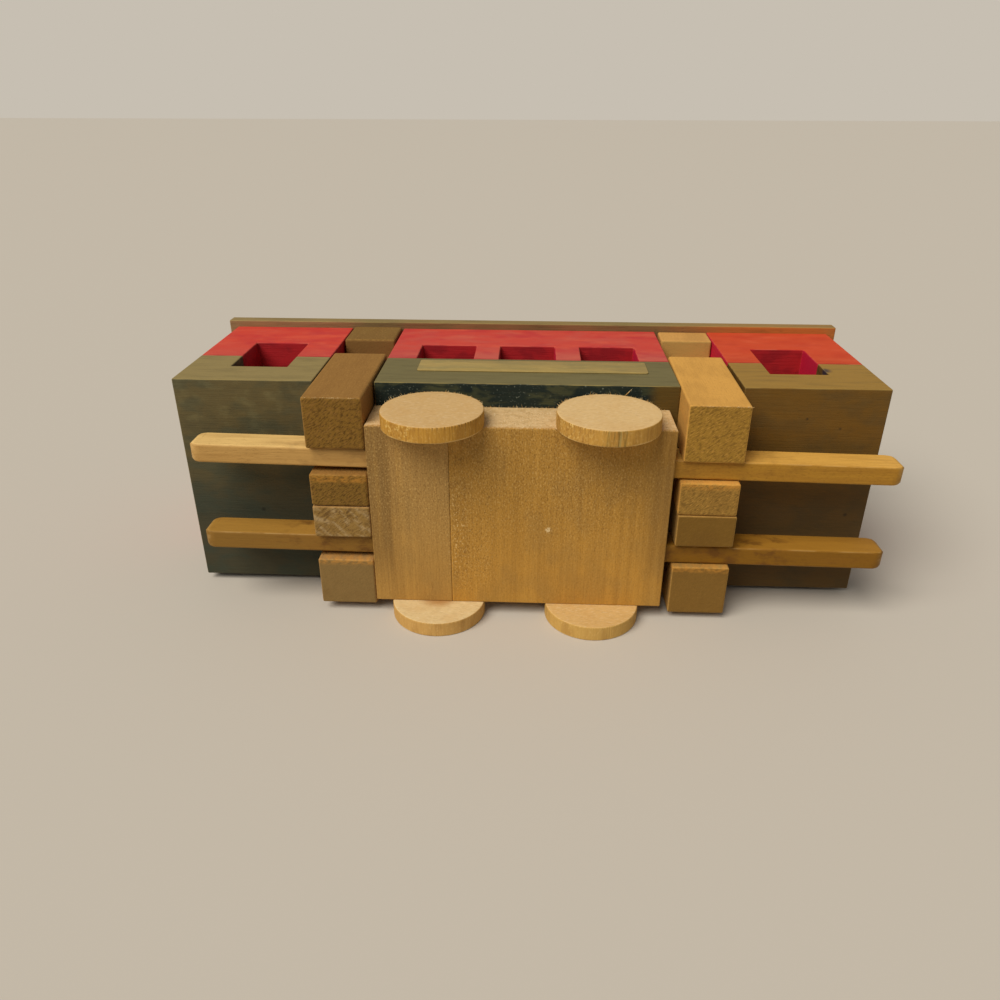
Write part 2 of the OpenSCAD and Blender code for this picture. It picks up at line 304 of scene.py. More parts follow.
def fork_wood(piece, seed, top, head, outer, inner, recess, torn=1.0, crossed=False):
    """Basswood board, sawn and hardly sanded. The fibres run from the wheels to the roof, so the ends of
    its legs are open end grain, which the saw tore in short slanting strokes, while its sides are smooth.
    A bright gold band along the edge below the stick is painted light. torn is how rough the ends are,
    and crossed adds coarse gashes and pale bands that cross them on the inner leg."""
    wood = Wood("sawn_basswood_" + piece, piece, "Y", seed)
    upper = piece.endswith("upper")
    stick_low, stick_high = [corner.z for corner in on_car("upper_stick" if upper else "lower_stick")]
    inner_leg = wood.between("Z", 0, stick_low + 1) if upper else wood.between("Z", stick_high - 1, CAR_SIDE)
    head_low, leg_high = 20, 10

    # Painted shade: head, the tone from 20 mm toward the roof, is darker than top on most forks, as shade
    # near the roof
    colour = wood.coat(top, head, wood.between("Y", head_low, FAR, soft=2))
    colour = wood.coat(colour, "#6b4316", wood.blots((9, 4, 4), 0.42, 0.68), share=0.16)
    colour = wood.coat(colour, "#dca860", wood.blots((0.5, 0.35, 0.35), 0.5, 0.7, detail=3), share=0.12)
    colour = wood.coat(colour, "#6b4316", wood.blots((0.6, 0.35, 0.35), 0.5, 0.7, detail=3), share=0.16)
    colour = fine_grain(wood, colour, "#5f3d14", share=0.06)
    ends = wood.coat(outer, inner, inner_leg)
    ends = wood.coat(ends, recess, wood.between("Y", leg_high, FAR, soft=1))
    colour = wood.coat(colour, ends, wood.end)

    legs = wood.between("Y", -leg_high, leg_high, soft=1)
    slant = math.radians(-38)
    dashes = wood.blots((3, 0.78, 0.21), 0.46, 0.64, slant=slant, detail=1.5)
    # Pale threads on the torn ends: partly loose fibres, partly painted glints
    threads_and_glints = wood.blots((3, 0.7, 0.2), 0.5, 0.68, slant=slant, detail=1.5)
    pits = wood.blots((3, 0.4, 0.28), 0.6, 0.7, slant=slant)
    colour = wood.coat(colour, "#402706", wood.end, legs, dashes, share=0.62 * torn)
    colour = wood.coat(colour, top, wood.end, legs, threads_and_glints, share=0.5 * torn)
    colour = wood.coat(colour, "#2e1c08", wood.end, legs, pits, share=0.45 * torn)
    wood.carve(0.006 * torn, wood.end, legs, dashes)
    if crossed:
        at_top = wood.between("Z", stick_high + 3.2, FAR, soft=1.6)
        gashes = wood.blots((3, 1.5, 0.42), 0.5, 0.66, slant=slant, detail=2)
        band = wood.blots((3, 2.6, 0.9), 0.42, 0.74, slant=-slant, detail=2)
        colour = wood.coat(colour, "#ddc59a", wood.end, inner_leg, band, share=0.34)
        colour = wood.coat(colour, "#4e3314", wood.end, inner_leg, dashes, share=0.26)
        colour = wood.coat(colour, "#4e3314", wood.end, inner_leg, gashes, share=0.26)
        colour = wood.coat(colour, "#4e3314", wood.end, inner_leg, gashes, at_top, share=0.5)
        wood.carve(0.025, wood.end, inner_leg, gashes)
    colour = wood.coat(colour, "#5a3a14", wood.end, wood.blots((6, 5, 5), 0.45, 0.7), share=0.14)
    # Painted light: a bright gold band along the edge just below the stick, on every face there
    rubbed = wood.between("Z", stick_low - 0.7, stick_low + 0.4, soft=0.4)
    patchy = wood.blots((1.5, 0.8, 0.4), 0.34, 0.64, detail=4)
    colour = wood.coat(colour, "#dc963a", rubbed, patchy, share=0.4)
    # Pale arris: partly wear, partly painted highlight
    colour = wood.coat(colour, "#e8b660", wood.arris(), wood.blots((1.5, 0.7, 0.7), 0.42, 0.62), share=0.14)
    return wood.finish(colour, 0.9)


def truck_wood(piece, seed, high, low):
    """Basswood board, planed and sanded. The fibres run across the car, so its front is close grain, worn
    fuzzy in its upper half, with lifted flecks that catch the light near the seam. Its front is painted
    darker toward its top, as shade under the upper wheels. Its upper side is pale end grain, painted paler
    still as light from above, with a torn front edge."""
    wood = Wood("planed_basswood_" + piece, piece, "Z", seed)
    # Painted shade: above 16 mm the front turns from low to the darker high, as shade under the upper wheels
    colour = wood.coat(low, high, wood.between("Z", 16, FAR, soft=12))
    # Darker greyish bands down both side edges of the front, above its lowest few mm
    dull = wood.between("Z", 7, FAR, soft=6)
    by_left = wood.between("X", -FAR, TRUCK_LEFT + 3.6, soft=0.6)
    by_right = wood.between("X", TRUCK_RIGHT - 3.1, FAR, soft=1.8)
    colour = wood.coat(colour, "#6c5028", by_left, dull, share=0.55)
    colour = wood.coat(colour, "#6c5028", by_right, dull, share=0.45)
    colour = wood.coat(colour, "#7d5620", wood.blots((60, 1.6, 1.6), 0.42, 0.66), share=0.16)
    colour = wood.coat(colour, "#dca850", wood.blots((40, 0.8, 0.8), 0.46, 0.68), share=0.14)
    colour = wood.coat(colour, "#8a6c3c", wood.blots((9, 6, 6), 0.45, 0.65), share=0.25)
    colour = fine_grain(wood, colour, "#6f4916", share=0.14)
    pits = wood.blots((0.36, 0.25, 0.25), 0.5, 0.66, detail=3)
    nap = wood.blots((0.38, 0.25, 0.25), 0.51, 0.68, detail=3)
    fuzzy = wood.coat(wood.between("Z", 15, FAR, soft=8), wood.between("Z", 5, FAR, soft=4),
                      wood.between("X", TRUCK_SEAM - 0.5, TRUCK_SEAM + 7, soft=2))
    colour = wood.coat(colour, "#5c390c", pits, share=0.17)
    # The pale nap is partly raised fibres and partly painted highlight
    colour = wood.coat(colour, "#e4bc72", nap, share=0.1)
    calm = wood.between("X", -FAR, TRUCK_RIGHT - 4.5, soft=7)
    colour = wood.coat(colour, "#5c390c", pits, fuzzy, calm, share=0.28)
    colour = wood.coat(colour, "#ecc57c", nap, fuzzy, calm, share=0.2)
    wood.carve(0.014, pits, fuzzy)
    flecks = wood.blots((0.5, 0.32, 0.32), 0.58, 0.7)
    by_seam = wood.between("X", TRUCK_SEAM, TRUCK_SEAM + 2.6, soft=1.2)
    colour = wood.coat(colour, "#5c390c", wood.blots((1, 0.6, 0.6), 0.5, 0.68), by_seam, fuzzy, share=0.3)
    colour = wood.coat(colour, "#ffdc98", flecks, by_seam, wood.between("Z", 8, 23, soft=4), share=0.5)
    crumb = wood.blots((0.45, 0.3, 0.3), 0.46, 0.56, detail=1)
    lone_fleck = wood.near((4.1, TRUCK_FRONT, 15.8), 0.75, 0.5)
    colour = wood.coat(colour, "#ffe8b4", lone_fleck, crumb, share=0.5)

    mottled = wood.blots((2, 0.9, 0.9), 0.42, 0.66, detail=4)
    end = wood.coat("#dab680", "#a8803e", mottled, share=0.4)
    end = wood.coat(end, "#f4e2b8", wood.blots((1, 0.35, 0.25), 0.54, 0.72), share=0.5)
    torn_edge = wood.between("Y", -FAR, TRUCK_FRONT + 0.5, soft=0.3)
    end = wood.coat(end, "#b07c30", torn_edge, wood.blots((1, 0.6, 0.5), 0.36, 0.6), share=0.8)
    # The upper side is pale end grain, painted paler partly as light from above
    colour = wood.coat(colour, end, wood.end)
    worn, dirty = wood.blots((0.5, 0.45, 0.45), 0.45, 0.58), wood.blots((0.4, 0.3, 0.3), 0.58, 0.68)
    # Pale arris: partly wear, partly painted highlight
    colour = wood.coat(colour, "#d8a856", wood.arris(), worn, share=0.3)
    colour = wood.coat(colour, "#6a4516", wood.arris(), dirty, share=0.3)
    wood.carve(0.04, wood.end, mottled)
    return wood.finish(colour)


def disc_wood(piece, seed, face, rim, fibrous=0.12, stain=None, coarse=None, weathered=None):
    """Basswood disc, cut with a hole saw. Its faces are pale sanded end grain with a fine nap, painted paler
    still as light from above, and its rim shows the fibres' sides, golden and torn into dark ticks where the
    saw left the wood, darker in deeper tears as painted shade. A pale line along the lower arris is a
    painted highlight. fibrous is how strongly the fibres show, and stain is a place on the face where a
    shadow is painted. coarse and weathered are stretches of the rim in X: crumbly gold, and split and grey
    with age."""
    wood = Wood("turned_basswood_" + piece, piece, "Z", seed)
    low = on_car(piece)[0].z
    torn = add(wood.tree, "ShaderNodeAttribute", {}, "Fac", attribute_name="torn")
    colour = wood.coat(rim, "#94621e", wood.blots((2.5, 0.3, 0.3), 0.42, 0.66, detail=3), share=fibrous)
    colour = wood.coat(colour, "#8c5c24", wood.blots((6, 2.2, 2.2), 0.48, 0.66), share=0.3)
    colour = wood.coat(colour, "#f0cc84", wood.blots((0.5, 0.3, 0.3), 0.54, 0.7), share=0.2)
    if coarse:
        stretch = wood.between("X", *coarse, soft=1.2)
        colour = wood.coat(colour, "#7c4c0c", stretch, wood.blots((0.7, 0.45, 0.45), 0.48, 0.66), share=0.36)
        colour = wood.coat(colour, "#ffe08c", stretch, wood.blots((0.6, 0.4, 0.4), 0.54, 0.7), share=0.4)
    if weathered:
        stretch = wood.between("X", *weathered, soft=1.0)
        colour = wood.coat(colour, "#6a5a28", stretch, wood.blots((5, 0.35, 0.35), 0.42, 0.62), share=0.62)
        colour = wood.coat(colour, "#e2c67c", stretch, wood.blots((5, 0.3, 0.3), 0.54, 0.7), share=0.3)
    # Dark where the rim is torn: partly the torn fibres' colour, partly painted shade in the tears
    colour = wood.coat(colour, "#4a2f0c", torn, share=0.75)
    # Painted highlight: a pale line along the lower arris
    lit_lower_lip = wood.between("Z", -FAR, low + 0.25, soft=0.1)
    colour = wood.coat(colour, "#f4d48c", wood.arris(), lit_lower_lip, wood.blots((3, 2, 2), 0.35, 0.55), share=0.4)
    nap = wood.blots((1, 0.24, 0.8), 0.46, 0.66, detail=2)
    end = wood.coat(face, "#8c6230", nap, share=0.17)
    end = wood.coat(end, "#fff0d0", wood.blots((1, 0.22, 0.7), 0.52, 0.72), share=0.2)
    end = wood.coat(end, "#c69550", wood.blots((1, 5, 5), 0.45, 0.7), share=0.2)
    # Painted shadow: stain darkens a crescent of the face where the disc above casts its shadow
    if stain:
        end = wood.coat(end, "#a8702c", wood.near(*stain), share=0.75)
    # The faces are pale end grain, painted paler partly as light from above
    colour = wood.coat(colour, end, wood.facing("Z"))
    wood.carve(0.01, wood.facing("Z"), nap)
    return wood.finish(colour)


def stick_wood(piece, seed, lit_top_left, lit_top_right, left, right, rubbed):
    """Basswood stick, sanded round at its ends. It turns darker and browner toward the right, and it is
    stained where the forks rub it. Its upper side is painted palest, as light from above."""
    wood = Wood("sanded_basswood_" + piece, piece, "X", seed)
    to_right = wood.between("X", 5, FAR, soft=30)
    colour = wood.coat(left, right, to_right)
    # Painted light: the upper faces take their own paler colours, as light from above
    colour = wood.coat(colour, wood.coat(lit_top_left, lit_top_right, to_right), wood.facing("Z", 1))
    colour = wood.coat(colour, "#8a5818", wood.blots((14, 1.5, 1.5), 0.45, 0.68), share=0.2)
    colour = fine_grain(wood, colour, "#6e4412", share=0.16)
    blotch = wood.blots((3.2, 2.2, 2.2), 0.46, 0.7, detail=3)
    for start, end in ((-40, -22), (22, 44)):
        colour = wood.coat(colour, "#56300e", blotch, wood.between("X", start, end, soft=3), share=rubbed)
    specks = wood.blots((0.6, 0.35, 0.35), 0.5, 0.7, detail=3)
    colour = wood.coat(colour, "#6e420a", specks, wood.facing("Y"), to_right, share=0.26)
    # Pale arris: partly wear, partly painted highlight
    colour = wood.coat(colour, "#f0cf90", wood.arris(), wood.blots((3, 0.8, 0.8), 0.4, 0.6), share=0.12)
    return wood.finish(colour, 0.65)


def green_dyed(piece, seed, top, high, low, spots, mottling, bruise=None):
    """Basswood dyed with a thin olive water stain and left unvarnished. The stain lies in soft clouds,
    the arrises are rubbed back to a light gold that is partly a painted highlight, and glue and dirt left
    dark spots. A bruise is a place that blue black ink has reached. Below 20 mm its side is painted darker,
    as shade under and between the sticks, and its upper face is painted paler, partly as light from above."""
    wood = Wood("green_dyed_basswood_" + piece, piece, "X", seed)
    # Painted shade: below 20 mm the side turns from high to the darker low, as shade under and between the
    # sticks
    colour = wood.coat(high, low, wood.between("Z", -FAR, 20, soft=6))
    colour = wood.coat(colour, "#2b3226", wood.blots((6, 4, 4), 0.45, 0.68, detail=3), share=0.22)
    clouds = wood.blots((3.6, 2.6, 2.6), 0.46, 0.74, detail=3)
    colour = wood.coat(colour, "#a09868", clouds, wood.between("Z", 27, FAR, soft=5), share=mottling)
    colour = wood.coat(colour, "#2c4038", wood.blots((7, 3.6, 3.6), 0.44, 0.64), share=2 * mottling)
    for spot in spots:
        colour = wood.coat(colour, "#1c1a12", wood.near(*spot), share=0.6)
    # The upper faces are paler, partly as painted light from above
    colour = wood.coat(colour, top, wood.facing("Z", 1))
    streaks = wood.blots((10, 1.6, 1.6), 0.48, 0.7)
    colour = wood.coat(colour, "#4a4228", wood.facing("Z", 1), streaks, share=0.2)
    colour = wood.coat(colour, "#1f1e12", wood.end, wood.rings((0, 22, -34), 2.1), share=0.4)
    colour = fine_grain(wood, colour, "#2e2814", share=0.13)
    if bruise:
        colour = wood.coat(colour, "#23243a", wood.near(*bruise), share=0.85)
    # Pale arris: partly rubbed-through stain, partly painted highlight
    colour = wood.coat(colour, "#b49c58", wood.arris(), wood.blots((5, 1.2, 1.2), 0.3, 0.6), share=0.35)
    return wood.finish(colour, 0.7)


def roof_dyed(piece, seed, edge, under, left, right):
    """Basswood dyed with a thin olive water stain that shows its long grain. Red dye ran under it from the
    left cab and orange dye from the right one, so its underside turns from reddish brown through olive to
    orange brown along the car, while its outer face is plain olive."""
    wood = Wood("green_dyed_basswood_" + piece, piece, "X", seed)
    outer = wood.facing("Y", 1)
    colour = wood.coat(under, "#6a6038", wood.blots((14, 6, 6), 0.42, 0.62), share=0.5)
    colour = wood.coat(colour, left, wood.between("X", -FAR, -36, soft=8))
    colour = wood.coat(colour, right, wood.between("X", 34, FAR, soft=12))
    colour = wood.coat(colour, "#7c7650", outer)
    colour = wood.coat(colour, edge, wood.facing("Z"), share=0.75)
    colour = wood.coat(colour, "#5c5a3a", outer, wood.blots((26, 8, 8), 0.42, 0.68), share=0.3)
    colour = wood.coat(colour, "#3f4029", outer, wood.blots((40, 1.3, 1.3), 0.46, 0.7, detail=3), share=0.3)
    colour = wood.coat(colour, "#a09a66", outer, wood.blots((32, 0.9, 0.9), 0.5, 0.74, detail=3), share=0.25)
    colour = wood.coat(colour, "#3c3420", wood.blots((12, 2, 2), 0.46, 0.68, detail=4), share=0.2)
    colour = fine_grain(wood, colour, "#2e2814", share=0.16)
    # Pale arris: partly rubbed-through stain, partly painted highlight
    colour = wood.coat(colour, "#a89850", wood.arris(), wood.blots((5, 1.2, 1.2), 0.3, 0.6), share=0.4)
    return wood.finish(colour, 0.7)


def glue_stained(piece, seed, top, under, teal, brown):
    """The centre's green block. Glue ran round the truck and the wheels and drank the stain, so its
    underside is nearly black teal with pale crumbs of dried glue, and plain brown at the right."""
    wood = Wood("green_dyed_basswood_" + piece, piece, "X", seed)
    pools = wood.blots((7, 5, 3.2), 0.4, 0.52, detail=3, twist=0.4)
    colour = wood.coat(under, teal, pools)
    crumbs = wood.blots((0.35, 0.3, 0.3), 0.63, 0.72)
    colour = wood.coat(colour, "#a9b3a0", crumbs, pools, share=0.36)
    colour = wood.coat(colour, brown, wood.between("X", TRUCK_RIGHT - 3, FAR, soft=1.2))
    # The upper face is paler, partly as painted light from above
    colour = wood.coat(colour, top, wood.facing("Z", 1))
    streaks = wood.blots((10, 1.6, 1.6), 0.48, 0.7)
    colour = wood.coat(colour, "#4a4228", wood.facing("Z", 1), streaks, share=0.2)
    colour = fine_grain(wood, colour, "#2e2814", share=0.16)
    # Pale arris: partly rubbed-through stain, partly painted highlight
    colour = wood.coat(colour, "#b49c58", wood.arris(), wood.blots((5, 1.2, 1.2), 0.3, 0.6), share=0.5)
    return wood.finish(colour, 0.7)


def red_dyed(piece, seed, top, near, deep):
    """Basswood dyed with an orange red water stain. It lies in soft clouds, pinker along the seam with the
    green block, where it ends in a dark line, and it is a deep crimson in the windows, whose sawn walls
    drank more of it and are painted darker still as shade. The walls that face left, toward the lamp, are
    painted a brighter crimson as light."""
    wood = Wood("red_dyed_basswood_" + piece, piece, "X", seed)
    colour = wood.coat(top, near, wood.between("Y", -FAR, 18, soft=3))
    colour = wood.coat(colour, near, wood.blots((5, 3, 3), 0.42, 0.68, detail=3), share=0.5)
    colour = wood.coat(colour, deep, wood.blots((7, 4, 4), 0.46, 0.7), share=0.4)
    colour = wood.coat(colour, "#f07850", wood.blots((8, 3, 3), 0.48, 0.74, detail=3), share=0.2)
    colour = wood.coat(colour, "#7c1420", wood.between("Y", -FAR, DYE_SEAM + 0.25, soft=0.12), share=0.5)
    # The window walls are deep crimson, partly more dye and partly painted shade in the windows
    walls = wood.coat("#b01e24", "#8a131d", wood.blots((4, 3, 3), 0.42, 0.62), share=0.6)
    # Painted light: the window walls that face left, toward the lamp, are a brighter crimson
    walls = wood.coat(walls, "#c8163a", wood.facing("X", -1))
    ends = wood.coat(near, deep, wood.blots((3, 0.5, 0.5), 0.5, 0.7, detail=3), share=0.5)
    ends = wood.coat(ends, deep, wood.rings((0, -8, 40), 2.4), share=0.6)
    end_grain_from = 56
    for start, end in ((-FAR, -end_grain_from), (end_grain_from, FAR)):
        walls = wood.coat(walls, ends, wood.between("X", start, end))
    colour = wood.coat(walls, colour, wood.facing("Z"))
    colour = fine_grain(wood, colour, "#8c2418", share=0.08)
    # Fingers rub the arrises of the outer faces only, and not those within the windows. The pale arris is
    # partly this wear and partly a painted highlight.
    rim = 0.6
    outside = wood.coat("#ffffff", "#000000", wood.between("Z", rim, CAR_SIDE - rim, soft=0.1))
    colour = wood.coat(colour, "#e88a68", wood.arris(), outside, wood.blots((4, 1, 1), 0.4, 0.6), share=0.25)
    return wood.finish(colour, 0.7)


def worn_gilt():
    """Thin strip of dull gilt paper, rubbed so that the wood's olive shows through."""
    wood = Wood("rubbed_gilt_paper", "centre_skirt", "X", 61)
    colour = wood.coat("#a58c50", "#8a7c4c", wood.blots((6, 2, 2), 0.4, 0.68, detail=3), share=0.6)
    colour = wood.coat(colour, "#c8b46c", wood.blots((2, 0.6, 0.6), 0.52, 0.74, detail=3), share=0.25)
    return wood.finish(colour, 0.5)


def eased(piece, arris, least):
    """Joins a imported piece's loose triangles and breaks its edges that turn by more than least
    by arris mm, as sandpaper does."""
    weld = piece.modifiers.new("join_triangles", "WELD")
    weld.merge_threshold = 1e-6
    flat = piece.modifiers.new("flat_faces", "DECIMATE")
    flat.decimate_type = "DISSOLVE"
    flat.angle_limit = math.radians(0.5)
    bevel = piece.modifiers.new("sanded_arris", "BEVEL")
    bevel.width = arris * MM
    bevel.segments = 3
    bevel.limit_method = "ANGLE"
    bevel.angle_limit = least


def dress(piece, material, arris=BLOCK_ARRIS, least=EDGE_TURN):
    """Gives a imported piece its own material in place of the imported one, and eases its edges."""
    NODES[piece].data.materials.clear()
    NODES[piece].data.materials.append(material)
    eased(NODES[piece], arris, least)


def new_piece(name, points, faces, material):
    """Mesh object at the origin from points in metres, which rides with the glued body of the car."""
    mesh = bpy.data.meshes.new(name)
    mesh.from_pydata(points.reshape(-1, 3), [], faces)
    mesh.materials.append(material)
    mesh.shade_smooth()
    made = bpy.data.objects.new(name, mesh)
    bpy.context.scene.collection.objects.link(made)
    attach(made, "car")
    return made


def skin(rings, steps):
    """Faces of a closed skin: quads between neighbouring rings of points, and a fan at each end to one
    point. Points are numbered ring by ring, and the two end points come last. The rings run round to the
    left as seen from the last one, so that the faces look outward."""
    start = np.arange(rings - 1)[:, None] * steps
    step = np.arange(steps)
    after = (step + 1) % steps
    quads = np.stack([start + step, start + after, start + steps + after, start + steps + step], axis=-1)
    first, last, top = rings * steps, rings * steps + 1, (rings - 1) * steps
    under = np.stack([np.full(steps, first), after, step], axis=-1)
    over = np.stack([np.full(steps, last), top + step, top + after], axis=-1)
    return quads.reshape(-1, 4).tolist() + under.tolist() + over.tolist()


def ripple(angle, chance, fewest, most):
    """Uneven waves round a circle: cosines with between fewest and most turns each, which close on
    themselves, added up and scaled to swing about 1 either way."""
    waves = 24
    turns = chance.integers(fewest, most, waves)
    starts = chance.uniform(0, 2 * math.pi, waves)
    return np.cos(angle[:, None] * turns + starts).sum(axis=1) / math.sqrt(waves / 2)


def disc(piece, seed, material, torn_side, torn_depth):
    """Wheel disc. A profile of radius and height is swept round: flat face, rounded arris, rim, arris and
    flat face. The rim sinks by ridges along the fibres, radius - ridge_depth ridge(angle), and by tears
    that cluster on one side and fade as exp(-distance / fade) from the upper and lower edges."""
    chance = np.random.default_rng(seed)
    low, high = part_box(piece)
    middle = (low + high) / 2
    radius, thick = min((high - low).x, (high - low).y) / 2 / MM, (high - low).z / MM
    round_off, steps = BLOCK_ARRIS, 900
    ridge_depth, upper_fade, lower_fade, dark_depth = 0.025, 0.3, 0.2, 0.06
    flat = np.linspace(0.5, radius - round_off, 12)
    turn = np.linspace(0, math.pi / 2, 6)[1:]
    wall = np.linspace(round_off, thick - round_off, 22)[1:-1]
    half_radii = np.concatenate([flat, radius - round_off + round_off * np.sin(turn)])
    half_heights = np.concatenate([flat * 0, round_off - round_off * np.cos(turn)])
    radii = np.concatenate([half_radii, wall * 0 + radius, half_radii[::-1]])[:, None]
    heights = np.concatenate([half_heights, wall, thick - half_heights[::-1]])[:, None]

    angle = np.linspace(0, 2 * math.pi, steps, endpoint=False)
    ridges = 0.5 + 0.25 * ripple(angle, chance, 60, 150)
    on_side = np.clip(np.cos(angle - torn_side), 0.1, 1) ** 2
    upper = np.clip(ripple(angle, chance, 60, 170) - 0.3, 0, 1.3) * on_side
    lower = np.clip(ripple(angle, chance, 60, 170) - 1.1, 0, 1.3) * on_side
    tears = upper * np.exp((heights - thick) / upper_fade) + lower * np.exp(-heights / lower_fade)
    at_rim = np.clip((radii - radius + 2 * round_off) / round_off, 0, 1)
    reach = radii - at_rim * (ridge_depth * np.clip(ridges, 0, 1) + torn_depth * tears)
    grid = np.stack([reach * np.cos(angle), reach * np.sin(angle), heights + 0 * reach], axis=-1)
    ends = np.array([[0, 0, 0], [0, 0, thick]])
    points = np.concatenate([grid.reshape(-1, 3), ends]) * MM + np.array([middle.x, middle.y, low.z])
    made = new_piece(piece + "_disc", points, skin(len(radii), steps), material)
    torn = made.data.attributes.new("torn", "FLOAT", "POINT")
    # How dark the rim is drawn where torn, deeper tears darker: partly painted shade in the tears
    dark = at_rim * np.clip(tears * torn_depth / dark_depth, 0, 1)
    torn.data.foreach_set("value", np.append(dark.ravel(), [0, 0]))
    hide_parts(piece)
    return middle, radius


def gilt_strip(material):
    """Blank strip let onto the centre's green block: a rectangle with rounded corners, whose corner
    centres carry a quarter circle each, laid in rings that rise to its thickness and round off."""
    long, wide, thick, corner, edge, steps = 39.1, 5.9, 0.22, 0.5, 0.08, 64
    middle_x, middle_y = 0.9, 9.0
    angle = (np.arange(steps) + 0.5) * math.tau / steps
    way = np.stack([np.cos(angle), np.sin(angle)], axis=-1)
    centres = np.sign(way) * np.array([long / 2 - corner, wide / 2 - corner])
    rises = np.array([0, thick - edge, thick - edge / 3, thick])
    insets = np.array([0, 0, edge / 3, edge])
    flat = centres + way * (corner - insets)[:, None, None]
    grid = np.concatenate([flat, np.broadcast_to(rises[:, None, None], flat.shape[:2] + (1,))], axis=-1)
    ends = np.array([[0, 0, 0], [0, 0, thick]])
    middle = np.array([middle_x, middle_y, CAR_SIDE])
    points = (np.concatenate([grid.reshape(-1, 3), ends]) + middle) * MM + np.array(CAR_ZERO)
    new_piece("gilt_strip", points, skin(len(rises), len(angle)), material)


def lifted_fibres(name, roots, leans, widths, material):
    """Torn fibres that stand off an edge, each a three-sided spike. Its root is a triangle of the given
    width, root + width (cos k across + sin k other), and its sides meet at root + lean. Sizes in mm."""
    no_fibre_points_here = [0.31, 0.52, 0.79]
    way = leans / np.linalg.norm(leans, axis=1, keepdims=True)
    across = np.cross(way, no_fibre_points_here)
    across /= np.linalg.norm(across, axis=1, keepdims=True)
    other = np.cross(way, across)
    turns = np.arange(3) * math.tau / 3
    spread = (np.cos(turns)[:, None] * across[:, None] + np.sin(turns)[:, None] * other[:, None])
    base = roots[:, None] + widths[:, None, None] * spread
    points = np.concatenate([base, (roots + leans)[:, None]], axis=1) * MM + np.array(CAR_ZERO)
    spike = np.array([[0, 1, 3], [1, 2, 3], [2, 0, 3], [2, 1, 0]])
    faces = np.arange(len(roots))[:, None, None] * 4 + spike
    new_piece(name, points, faces.reshape(-1, 3).tolist(), material)


def fibres_on_line(name, count, seed, start, end, lean, loose, longest, material):
    """Fibres strewn evenly along a straight edge, which lean one way and spread by loose."""
    chance = np.random.default_rng(seed)
    share = chance.uniform(0, 1, (count, 1))
    roots = np.array(start) + share * (np.array(end) - np.array(start)) + chance.normal(0, 0.04, (count, 3))
    leans = np.array(lean) + chance.normal(0, loose, (count, 3))
    leans *= longest * chance.uniform(0.25, 1, (count, 1)) ** 2
    lifted_fibres(name, roots, leans, chance.uniform(0.03, 0.06, count), material)


def fibres_on_disc(name, count, seed, middle, radius, height, start, end, material):
    """Fibres along an arc of a disc's upper edge, from one angle to another, which lean outward and up."""
    inset, outward, upward, loose, longest = 0.15, 0.8, 0.5, 0.35, 0.55
    chance = np.random.default_rng(seed)
    angle = chance.uniform(start, end, count)
    out = np.stack([np.cos(angle), np.sin(angle), 0 * angle], axis=-1)
    roots = np.array([middle.x, middle.y, 0]) / MM - np.array(CAR_ZERO) / MM + out * (radius - inset)
    roots[:, 2] = height
    leans = out * outward + np.array([0, 0, upward]) + chance.normal(0, loose, (count, 3))
    leans *= longest * chance.uniform(0.2, 1, (count, 1)) ** 2
    lifted_fibres(name, roots, leans, chance.uniform(0.03, 0.05, count), material)


def pale_fibre():
    """Loose basswood fibres, paler than the sanded faces because light comes through them."""
    wood = Wood("loose_basswood_fibre", "truck_wide_board", "Z", 71)
    return wood.finish(wood.coat("#ecd09a", "#c89c58", wood.blots((2, 1, 1), 0.4, 0.6)), 0.6)


camera_and_light()
floor()

# On three forks head is darker than top, painted shade near the roof
dress("left_fork_upper",
      fork_wood("left_fork_upper", 3, top="#946b32", head="#80602c", outer="#815e21", inner="#7d5d22",
                recess="#856131"), RUBBED_ARRIS)
dress("left_fork_lower",
      fork_wood("left_fork_lower", 4, top="#a9824e", head="#8a6636", outer="#886c3d", inner="#94733b",
                recess="#7c5630", torn=0.14, crossed=True), FORK_ARRIS)
dress("right_fork_upper",
      fork_wood("right_fork_upper", 5, top="#d7a04c", head="#cf9a52", outer="#9c752b", inner="#987332",
                recess="#be9752", torn=0.62), HANDLED_ARRIS)
dress("right_fork_lower",
      fork_wood("right_fork_lower", 6, top="#b08846", head="#d89c54", outer="#815f27", inner="#79581f",
                recess="#b88040", torn=0.14), FORK_ARRIS)

# high is the truck front's painted shade under the upper wheels
dress("truck_narrow_board", truck_wood("truck_narrow_board", 11, high="#ab8549", low="#b38742"))
dress("truck_wide_board", truck_wood("truck_wide_board", 12, high="#ad8035", low="#be8b39"))

# The upper faces' colours are painted paler, as light from above
dress("upper_stick",
      stick_wood("upper_stick", 31, lit_top_left="#eac279", lit_top_right="#dda84d", left="#bf9452", right="#ab7b25",
                 rubbed=0.25), HANDLED_ARRIS, least=TIP_TURN)
dress("lower_stick",
      stick_wood("lower_stick", 32, lit_top_left="#a97d32", lit_top_right="#a57525", left="#8a6425", right="#83590d",
                 rubbed=0.6), HANDLED_ARRIS, least=TIP_TURN)

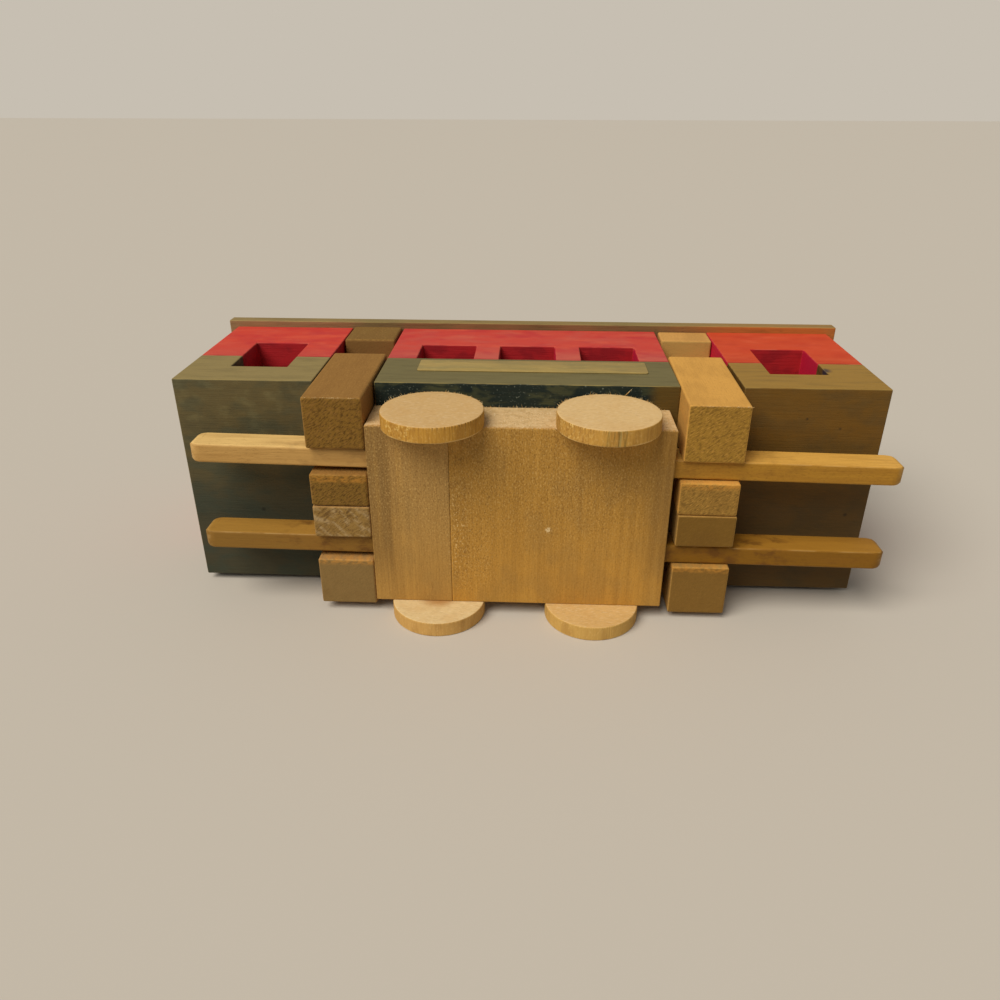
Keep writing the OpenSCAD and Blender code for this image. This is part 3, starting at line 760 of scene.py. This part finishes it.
# In each green block, low is painted shade under the sticks and top is painted paler, partly as light
dress("left_cab_skirt",
      green_dyed("left_cab_skirt", 41, top="#93804f", high="#615534", low="#45412e",
                 spots=[((-46.2, 0, 13.7), 0.6, 0.5)], mottling=0.16))
dress("centre_skirt",
      glue_stained("centre_skirt", 42, top="#756b44", under="#40442e", teal="#182521", brown="#5e491b"))
dress("right_cab_skirt",
      green_dyed("right_cab_skirt", 43, top="#9d7936", high="#6c4c15", low="#5b431f",
                 spots=[((55.2, 0, 15.0), 0.5, 0.4), ((51.4, 0, 30.8), 0.4, 0.4),
                        ((45.8, 0, 32.4), 0.35, 0.3)],
                 mottling=0.03, bruise=((50.5, 9.6, 37.4), 1.7, 1.3)))
for seed, piece in ((44, "roof_board"), (45, "roof_rib")):
    dress(piece, roof_dyed(piece, seed, edge="#94804c", under="#86633f", left="#967650", right="#b46a2e"))

for seed, piece, top, near, deep in (
        (51, "left_cab_window_block", "#d0412f", "#c94b3c", "#b42030"),
        (52, "centre_window_block", "#cb4437", "#c4594a", "#b01c34"),
        (53, "right_cab_window_block", "#cf4924", "#ca4b25", "#b83018")):
    dress(piece, red_dyed(piece, seed, top, near, deep))

LOOSE = pale_fibre()

# Each disc: its seed, face and rim colours, the side where the saw tore it, how deep in mm, and its marks
for seed, piece, face, rim, torn_side, torn_depth, marks in (
        (21, "upper_left_wheel", "#d0aa70", "#be8c37", math.radians(-40), 0.1,
         {"fibrous": 0.32, "coarse": (-21.5, -16.5)}),
        (22, "upper_right_wheel", "#dbb77d", "#c29242", math.radians(-130), 0.06,
         {"fibrous": 0.3, "coarse": (3.0, 9.6), "weathered": (10.6, 15.2)}),
        # The lower left disc's stain is the painted shadow of the disc above it
        (23, "lower_left_wheel", "#ddc28d", "#c89c56", math.radians(-80), 0.02,
         {"stain": ((-14.5, -7.5, 1.4), 4.4, 2.5)}),
        (24, "lower_right_wheel", "#d5ae6e", "#c89f54", math.radians(-60), 0.02, {})):
    middle, radius = disc(piece, seed, disc_wood(piece, seed, face, rim, **marks), torn_side, torn_depth)
    if piece.startswith("upper"):
        fibres_on_disc(piece + "_fibres", 160, seed + 60, middle, radius, height=on_car(piece)[1].z - 0.05,
                       start=math.radians(15), end=math.radians(165), material=LOOSE)

# Loose fibres on the upper edges of the truck, along its front and its back, and of the two upper forks
for name, count, seed, y, z, lean, loose, longest in (
        ("truck_front_edge_fibres", 420, 81, TRUCK_FRONT + 0.1, TRUCK_TOP - 0.08, (0, -0.5, 0.4), 0.35, 0.4),
        ("truck_back_edge_fibres", 300, 82, -0.15, TRUCK_TOP - 0.03, (0, 0.1, 0.8), 0.4, 0.5)):
    fibres_on_line(name, count, seed, (TRUCK_LEFT + 0.4, y, z), (TRUCK_RIGHT - 0.4, y, z), lean, loose,
                   longest, LOOSE)
for seed, side in ((83, "left"), (84, "right")):
    low, high = on_car(side + "_fork_upper")
    fibres_on_line(side + "_fork_edge_fibres", 260, seed, (low.x + 0.6, low.y + 0.1, high.z - 0.1),
                   (high.x - 0.6, low.y + 0.1, high.z - 0.1), lean=(0, -0.4, 0.4), loose=0.3,
                   longest=0.24, material=LOOSE)
# One long splinter stands up between the upper right wheel and the block
lifted_fibres("splinter", roots=np.array([(15.95, -0.5, 36.0)]), leans=np.array([(1.1, -0.6, 1.6)]),
              widths=np.array([0.12]), material=LOOSE)
gilt_strip(worn_gilt())
